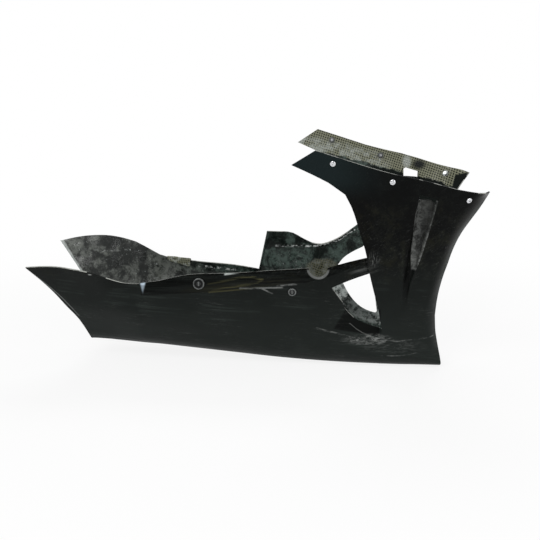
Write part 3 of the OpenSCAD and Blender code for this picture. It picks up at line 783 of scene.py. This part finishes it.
def cup_metal(settings, places):
    """Blackened cup washers whose outer rings are rubbed bright."""
    f = Finish("blackened_cup_alloy", Metallic=1.0, Roughness=0.42)
    worn = 0.0
    for centre, radius in places:
        apart = f.measure("DISTANCE", f.coords, centre)
        ring = f.every(
            f.between(apart, radius - 3.2 * MM, radius - 2.2 * MM),
            f.between(apart, radius + 6.0 * MM, radius + 3.0 * MM),
        )
        worn = f.either(ring, worn)
    grime = f.between(f.noise(240.0, detail=5.0, rough=0.7), 0.36, 0.60, 0.35, 1.0)
    shade = f.blend(f.every(worn, grime), settings.cup_black, settings.alloy)
    f.feed(f.shader.inputs["Base Color"], shade)
    return f.material


def slotted_zinc(settings, places):
    """Dulled slotted screws with a brighter upright rub over the slot."""
    f = Finish("side_screw_zinc", Metallic=1.0, Roughness=0.45)
    x = f.axes()[0]
    rub = 0.0
    for centre, _ in places:
        off = f.maths("ABSOLUTE", f.maths("SUBTRACT", x, centre.x))
        rub = f.either(f.between(off, 1.5 * MM, 0.8 * MM), rub)
    grime = f.between(f.noise(300.0, detail=4.0, rough=0.7), 0.36, 0.60, 0.45, 1.0)
    shade = f.blend(f.every(rub, grime), settings.side_zinc, settings.alloy)
    f.feed(f.shader.inputs["Base Color"], shade)
    return f.material


def merged_copy(node, merge):
    """A CAD node's mesh with its loose triangles joined at their corners."""
    bm = bmesh.new()
    bm.from_mesh(NODES[node].data)
    bmesh.ops.remove_doubles(bm, verts=bm.verts, dist=merge)
    return bm


def islands(bm):
    """The separate solids of a mesh, as lists of faces."""
    seen = set()
    found = []
    for start in bm.faces:
        if start in seen:
            continue
        seen.add(start)
        group = [start]
        for face in group:
            for other in (linked for edge in face.edges for linked in edge.link_faces):
                if other not in seen:
                    seen.add(other)
                    group.append(other)
        found.append(group)
    return found


def solid_places(node):
    """Middle and reach of each solid of a CAD node."""
    bm = merged_copy(node, SOLID_MERGE)
    found = []
    for faces in islands(bm):
        corners = {vert.index: vert.co.copy() for face in faces for vert in face.verts}.values()
        middle = Vector([(min(axis) + max(axis)) / 2 for axis in zip(*corners)])
        found.append((middle, max((corner - middle).length for corner in corners)))
    bm.free()
    return found


def mark_sharp(bm, angle):
    """Smooth faces with crisp edges where they turn by more than an angle."""
    for face in bm.faces:
        face.smooth = True
    for edge in bm.edges:
        edge.smooth = edge.is_manifold and edge.calc_face_angle(0.0) < angle


def add_piece(name, bm, materials, node):
    """Makes an object from a bmesh and lets it stand for its CAD node."""
    mesh = bpy.data.meshes.new(name)
    bm.to_mesh(mesh)
    bm.free()
    for material in materials:
        mesh.materials.append(material)
    piece = bpy.data.objects.new(name, mesh)
    bpy.context.scene.collection.objects.link(piece)
    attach(piece, "root")
    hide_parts(node)
    return piece


def add_modifier(piece, kind, **values):
    """Adds a modifier and sets its values."""
    modifier = piece.modifiers.new(kind.title(), kind)
    for key, value in values.items():
        setattr(modifier, key, value)


def sort_skins(bm, wall):
    """Gives each face the slot of the outer skin, the inner skin or a cut edge."""
    tree = BVHTree.FromBMesh(bm)
    for face in bm.faces:
        centre = face.calc_center_median()
        x, y, z = centre
        outwards = Vector((0.0, y, min(z - TUB_MIDDLE, 0.0)))
        in_groove = GROOVE_X[0] < x < GROOVE_X[1] and GROOVE_Z[0] < z < GROOVE_Z[1]
        place, _, _, depth = tree.ray_cast(centre - face.normal * RAY_STEP, -face.normal)
        if not in_groove and (place is None or depth > wall):
            face.material_index = CUT_EDGE
        elif face.normal.dot(outwards) > 0.0:
            face.material_index = OUTER_SKIN
        else:
            face.material_index = INNER_SKIN


def trim_slots(bm, rise, fall):
    """Narrows both slots: the right one's foot comes up and the left one's head comes down."""
    for vert in bm.verts:
        x, y, z = vert.co
        at_slot = SLOT_X[0] < x < SLOT_X[1] and SLOT_Z[0] < z < SLOT_Z[1]
        if not at_slot or all(face.material_index != CUT_EDGE for face in vert.link_faces):
            continue
        middle = SLOT_MIDDLE_Z + SLOT_SLOPE * (x - SLOT_MIDDLE_X)
        if y < 0.0 and z < middle:
            vert.co.z += rise
        elif y > 0.0 and z > middle:
            vert.co.z -= fall


def crease_borders(bm):
    """Keeps the borders between finishes, and all crisp edges, sharp under subdivision."""
    crease = bm.edges.layers.float.get("crease_edge") or bm.edges.layers.float.new("crease_edge")
    for edge in bm.edges:
        on_border = len({face.material_index for face in edge.link_faces}) > 1
        edge[crease] = 1.0 if on_border or not edge.smooth else 0.0
        if on_border:
            edge.smooth = False


class PAN_OT_laminate(bpy.types.Operator):
    """Smooth the moulded shell and give its skins and cut edges their finishes"""

    bl_idname = "belly_pan.laminate"
    bl_label = "Laminate Shell"

    def execute(self, context):
        settings = context.scene.pan_laminate
        bm = merged_copy("shell", settings.merge)
        bmesh.ops.join_triangles(
            bm, faces=bm.faces, angle_face_threshold=QUAD_BEND, angle_shape_threshold=QUAD_SKEW
        )
        sort_skins(bm, settings.wall)
        trim_slots(bm, settings.slot_rise, settings.slot_fall)
        mark_sharp(bm, settings.sharp_angle)
        crease_borders(bm)
        finishes = (gelcoat(settings), raw_laminate(settings), cut_edge(settings))
        shell = add_piece("laminate_shell", bm, finishes, "shell")
        levels = settings.smoothing
        add_modifier(shell, "SUBSURF", levels=levels, render_levels=levels)
        return {"FINISHED"}


def tab_place(skin, share, row):
    """Place on the cloth tab: share runs along the rim, row from the inner foot outwards."""
    x = TAB_REAR + TAB_LENGTH * share
    rim = TAB_RIM - TAB_FALL * share
    # The cloth stands further over the rim, and hangs lower inside, towards the front
    over = (1.0 + 3.4 * share) * MM
    drop = (6.0 + 12.0 * share ** 0.5 + 0.8 * math.sin(9.0 * share)) * MM
    inner = []
    for part in (1.0, 0.5, 0.1):
        start = Vector((x, 0.0, rim - part * drop))
        hit = skin.ray_cast(start, Vector((0.0, 1.0, 0.0)))[0]
        inner.append(hit.y - TAB_GAP if hit else TAB_SKIN)
    foot, half_way, edge = inner
    top = edge + TAB_GAP
    profile = (
        (foot, rim - drop),
        (half_way, rim - 0.5 * drop),
        (edge, rim),
        (top, rim + over),
        (top + 2.0 * MM, rim + over + 0.6 * MM),
        (top + 4.7 * MM, rim + 0.4 * over),
        (top + 6.0 * MM, rim - 3.0 * MM),
    )
    y, z = profile[row]
    return Vector((x + TAB_LEAN * share * row / TAB_ROWS, y, z))


class PAN_OT_cloth_tab(bpy.types.Operator):
    """Lay the stiff cloth tab over the left rim"""

    bl_idname = "belly_pan.cloth_tab"
    bl_label = "Cloth Tab"

    def execute(self, context):
        settings = context.scene.pan_laminate
        shell = merged_copy("shell", settings.merge)
        skin = BVHTree.FromBMesh(shell)
        shell.free()
        bm = bmesh.new()
        bmesh.ops.create_grid(bm, x_segments=TAB_COLUMNS, y_segments=TAB_ROWS, size=0.5)
        for vert in bm.verts:
            row = round((vert.co.y + 0.5) * TAB_ROWS)
            vert.co = tab_place(skin, vert.co.x + 0.5, row)
        bmesh.ops.recalc_face_normals(bm, faces=bm.faces)
        for face in bm.faces:
            face.smooth = True
        tab = add_piece("cloth_tab", bm, (tab_cloth(settings),), "shell")
        add_modifier(tab, "SOLIDIFY", thickness=TAB_WALL, offset=0.0)
        add_modifier(tab, "SUBSURF", levels=1, render_levels=1)
        return {"FINISHED"}


def place_name(faces, places):
    """Side and place along the pan of one solid."""
    centre = sum((face.calc_center_median() for face in faces), Vector()) / len(faces)
    side = "right" if centre.y < 0.0 else "left"
    place = min(places, key=lambda name: abs(places[name] - centre.x))
    return f"{side}_{place}"


def add_fasteners(node, kind, places, material, settings):
    """Makes each solid of a CAD node a piece of its own with broken edges."""
    for index in range(len(solid_places(node))):
        bm = merged_copy(node, SOLID_MERGE)
        groups = islands(bm)
        name = place_name(groups.pop(index), places)
        spare = [face for group in groups for face in group]
        bmesh.ops.delete(bm, geom=spare, context="FACES")
        bmesh.ops.dissolve_limit(bm, angle_limit=SOLID_FLAT, verts=bm.verts, edges=bm.edges)
        mark_sharp(bm, SOLID_SHARP)
        piece = add_piece(f"{kind}_{name}", bm, (material,), node)
        add_modifier(
            piece, "BEVEL", width=settings.bevel, segments=2, limit_method="ANGLE",
            angle_limit=SOLID_SHARP, harden_normals=True,
        )


class PAN_OT_flange_fasteners(bpy.types.Operator):
    """Add the domed screws, washers and nuts of both top flanges"""

    bl_idname = "belly_pan.flange_fasteners"
    bl_label = "Flange Fasteners"

    def execute(self, context):
        settings = context.scene.pan_fasteners
        steel = metal("bright_screw_steel", settings.bright, roughness=0.22, wear_and_light=0.25)
        zinc = metal("zinc_plate", settings.zinc, roughness=0.36, wear_and_light=0.5)
        for node, kind, material, slot in (
            ("flange_screws", "flange_screw", steel, "screw_steel"),
            ("flange_washers", "flange_washer", zinc, "washer_steel"),
            ("flange_nuts", "flange_nut", zinc, "washer_steel"),
        ):
            add_fasteners(node, kind, FLANGE_PLACES, material, settings)
        return {"FINISHED"}


class PAN_OT_side_fasteners(bpy.types.Operator):
    """Add the two cup washers of the right side with their screws, washers and nuts"""

    bl_idname = "belly_pan.side_fasteners"
    bl_label = "Side Fasteners"

    def execute(self, context):
        settings = context.scene.pan_fasteners
        alloy = cup_metal(settings, solid_places("cup_washers"))
        slotted = slotted_zinc(settings, solid_places("side_screws"))
        zinc = metal("side_zinc_plate", settings.side_zinc, roughness=0.45, wear_and_light=0.8)
        for node, kind, material, slot in (
            ("cup_washers", "cup_washer", alloy, "cup_alloy"),
            ("side_screws", "side_screw", slotted, "washer_steel"),
            ("side_washers", "side_washer", zinc, "washer_steel"),
            ("side_nuts", "side_nut", zinc, "washer_steel"),
        ):
            add_fasteners(node, kind, SIDE_PLACES, material, settings)
        return {"FINISHED"}


def floor_finish():
    """White card that shows plainly to the camera and still takes a shadow."""
    f = Finish("white_studio_card", Base_Color=CARD_GREY, Roughness=0.9, Specular_IOR_Level=0.0)
    rays = f.tree.nodes.new("ShaderNodeLightPath").outputs
    seen = f.either(rays["Is Camera Ray"], rays["Is Glossy Ray"], rays["Is Transmission Ray"])
    white = f.tree.nodes.new("ShaderNodeEmission")
    white.inputs["Strength"].default_value = 1.0
    mix = f.tree.nodes.new("ShaderNodeMixShader")
    near = f.spot((0.0, 0.0, 0.0), (1.6, 1.3, 1.0))
    f.feed(mix.inputs["Fac"], f.every(seen, f.maths("MULTIPLY_ADD", near, -0.14, 1.0)))
    f.tree.links.new(f.shader.outputs[0], mix.inputs[1])
    f.tree.links.new(white.outputs[0], mix.inputs[2])
    f.tree.links.new(mix.outputs[0], f.tree.nodes["Material Output"].inputs["Surface"])
    return f.material


def add_floor(scene, size):
    """A flat card under the pan."""
    bm = bmesh.new()
    bmesh.ops.create_grid(bm, x_segments=1, y_segments=1, size=size / 2)
    mesh = bpy.data.meshes.new("studio_floor")
    bm.to_mesh(mesh)
    bm.free()
    mesh.materials.append(floor_finish())
    floor = bpy.data.objects.new("studio_floor", mesh)
    scene.collection.objects.link(floor)


def add_sky(scene, strength):
    """Even white light that the camera sees as plain white."""
    world = bpy.data.worlds.new("studio_sky")
    world.use_nodes = True
    tree = world.node_tree
    sky = tree.nodes["Background"]
    sky.inputs["Color"].default_value = WHITE
    rays = tree.nodes.new("ShaderNodeLightPath").outputs
    level = tree.nodes.new("ShaderNodeMapRange")
    tree.links.new(rays["Is Camera Ray"], level.inputs["Value"])
    level.inputs["To Min"].default_value = strength
    level.inputs["To Max"].default_value = 1.0
    tree.links.new(level.outputs[0], sky.inputs["Strength"])
    scene.world = world


def add_lamp(scene, name, place, target, size, watts):
    """A rectangular area lamp that looks at a point."""
    lamp = bpy.data.lights.new(name, "AREA")
    lamp.shape = "RECTANGLE"
    lamp.size, lamp.size_y = size
    lamp.energy = watts
    holder = bpy.data.objects.new(name, lamp)
    holder.location = place
    holder.rotation_euler = (Vector(target) - Vector(place)).to_track_quat("-Z", "Y").to_euler()
    scene.collection.objects.link(holder)


def add_camera(scene):
    """The camera at the photograph's place and angle."""
    camera = bpy.data.cameras.new("photo_camera")
    camera.sensor_width = SENSOR_WIDTH
    camera.lens = FOCAL_PIXELS / PHOTO_WIDTH * SENSOR_WIDTH
    holder = bpy.data.objects.new("photo_camera", camera)
    level = Matrix.Rotation(math.pi / 2 - CAMERA_PITCH, 4, "X")
    turn = Matrix.Rotation(CAMERA_YAW, 4, "Z") @ level
    holder.matrix_world = Matrix.Translation(CAMERA_PLACE) @ turn
    scene.collection.objects.link(holder)
    bpy.context.scene.camera = holder


class PAN_OT_studio(bpy.types.Operator):
    """Add the floor, the sky, the lamps and the camera"""

    bl_idname = "belly_pan.studio"
    bl_label = "Studio"

    def execute(self, context):
        scene = context.scene
        settings = scene.pan_studio
        add_floor(scene, settings.floor_size)
        add_sky(scene, settings.sky)
        add_lamp(
            scene, "key_lamp", place=(-0.9, -2.2, 2.1), target=(0.1, 0.0, 0.2), size=(1.6, 1.0),
            watts=settings.key_power,
        )
        add_lamp(
            scene, "fill_lamp", place=(1.9, -1.5, 1.2), target=(0.2, 0.0, 0.2), size=(0.8, 1.4),
            watts=settings.fill_power,
        )
        add_lamp(
            scene, "back_lamp", place=(0.2, 1.6, 2.2), target=(0.0, 0.0, 0.2), size=(2.2, 0.9),
            watts=settings.back_power,
        )
        add_camera(scene)
        scene.view_settings.view_transform = "Standard"
        return {"FINISHED"}


class PAN_PT_panel(bpy.types.Panel):
    """Lists the pieces of the belly pan"""

    bl_label = "Belly Pan"
    bl_idname = "PAN_PT_panel"
    bl_space_type = "VIEW_3D"
    bl_region_type = "UI"
    bl_category = "Belly Pan"

    def draw(self, context):
        for operator in OPERATORS:
            self.layout.operator(operator.bl_idname)
        for group in GROUPS:
            box = self.layout.box()
            settings = getattr(context.scene, group)
            for name in settings.__annotations__:
                box.prop(settings, name)


GROUPS = {
    "pan_laminate": LaminateSettings,
    "pan_fasteners": FastenerSettings,
    "pan_studio": StudioSettings,
}
OPERATORS = (
    PAN_OT_studio,
    PAN_OT_laminate,
    PAN_OT_cloth_tab,
    PAN_OT_flange_fasteners,
    PAN_OT_side_fasteners,
)


def register():
    """Registers the settings, the operators and the panel."""
    for name, group in GROUPS.items():
        bpy.utils.register_class(group)
        setattr(bpy.types.Scene, name, PointerProperty(type=group))
    for operator in OPERATORS:
        bpy.utils.register_class(operator)
    bpy.utils.register_class(PAN_PT_panel)


def unregister():
    """Takes away what register added."""
    bpy.utils.unregister_class(PAN_PT_panel)
    for operator in reversed(OPERATORS):
        bpy.utils.unregister_class(operator)
    for name, group in GROUPS.items():
        delattr(bpy.types.Scene, name)
        bpy.utils.unregister_class(group)


def main():
    """Builds the pan and its studio."""
    register()
    bpy.ops.belly_pan.studio()
    bpy.ops.belly_pan.laminate()
    bpy.ops.belly_pan.cloth_tab()
    bpy.ops.belly_pan.flange_fasteners()
    bpy.ops.belly_pan.side_fasteners()


if __name__ == "__main__":
    main()
